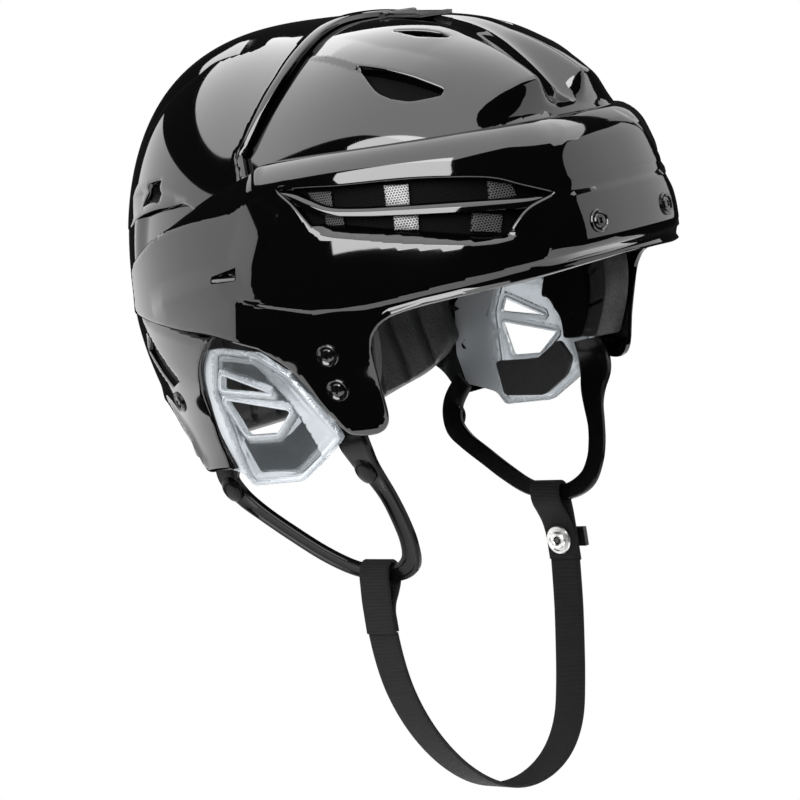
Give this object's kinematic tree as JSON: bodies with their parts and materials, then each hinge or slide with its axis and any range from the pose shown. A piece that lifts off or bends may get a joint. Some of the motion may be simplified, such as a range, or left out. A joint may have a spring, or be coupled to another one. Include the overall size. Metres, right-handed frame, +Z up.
{
  "type": "ice hockey helmet",
  "caption": "Gloss black ice hockey helmet with a sliding rear shell, vented crown, clear ear guards, chin hangers on hinge lines and a webbing chin strap.",
  "frame": {"origin": "head mount: on the mirror plane, where the line through the tops of the two ear openings meets it", "axes": "+Z up as worn, the helmet faces -Y, the wearer's right is -X"},
  "size_m": [0.2252, 0.2621, 0.3572],
  "materials": {
    "gloss_black_shell": "gloss",
    "silver_mesh": "satin",
    "black_mesh": "satin",
    "liner_foam": "matte",
    "grey_felt": "matte",
    "dark_felt": "matte",
    "clear_guard": "clear",
    "hanger_plastic": "satin",
    "webbing": "woven",
    "chrome_snap": "polished",
    "black_metal": "satin",
    "steel_nuts": "plated",
    "black_plastic": "satin"
  },
  "bodies": {
    "root": {"front_shell": "gloss_black_shell", "vent_mesh_right": "silver_mesh", "vent_mesh_left": "silver_mesh", "brow_liner": "liner_foam", "crown_liner_front": "liner_foam", "side_liner_right": "liner_foam", "side_liner_left": "liner_foam", "temple_pad_right": "grey_felt", "temple_pad_left": "grey_felt", "ear_pad_right": "dark_felt", "ear_pad_left": "dark_felt", "ear_guard_right": "clear_guard", "ear_guard_left": "clear_guard", "front_tab_right": "hanger_plastic", "front_tab_left": "hanger_plastic", "rear_tab_right": "hanger_plastic", "rear_tab_left": "hanger_plastic", "chin_strap": "webbing", "brow_screws": "black_metal", "temple_high_screws": "black_metal", "temple_low_screws": "black_metal", "latch_pin": "black_metal", "brow_nuts": "steel_nuts", "temple_high_nuts": "steel_nuts", "temple_low_nuts": "steel_nuts", "crown_latch_base": "black_plastic"},
    "rear": {"rear_shell": "gloss_black_shell", "crown_liner_rear": "liner_foam", "occipital_pad": "liner_foam", "rear_liner_right": "liner_foam", "rear_liner_left": "liner_foam", "flap_mesh_right": "black_mesh", "flap_mesh_left": "black_mesh", "rear_screws": "black_metal", "rear_nuts": "steel_nuts"},
    "latch": {"crown_latch": "black_plastic"},
    "hanger_right": {"chin_hanger_right": "hanger_plastic", "strap_loop_right": "webbing"},
    "hanger_left": {"chin_hanger_left": "hanger_plastic", "strap_loop_left": "webbing", "snap_cap": "chrome_snap", "snap_stud": "black_metal", "strap_keeper": "black_plastic"}
  },
  "joints": [
    {"name": "length_adjust", "type": "slide", "parent": "root", "child": "rear", "axis": [0, 1, 0], "range_m": [-0.003, 0.005]},
    {"name": "latch_hinge", "type": "hinge", "parent": "root", "child": "latch", "pos_m": [0, -0.03587, 0.15321], "axis": [-1, 0, 0], "range_deg": [0, 60]},
    {"name": "hanger_right_hinge", "type": "hinge", "parent": "root", "child": "hanger_right", "pos_m": [-0.08152, -0.057, -0.04367], "axis": [0.0118, 0.9994, -0.0337], "range_deg": [-12, 15], "deforming": ["chin_strap"]},
    {"name": "hanger_left_hinge", "type": "hinge", "parent": "root", "child": "hanger_left", "pos_m": [0.08152, -0.057, -0.04367], "axis": [0.0118, -0.9994, 0.0337], "range_deg": [-12, 15], "deforming": ["chin_strap"]}
  ]
}
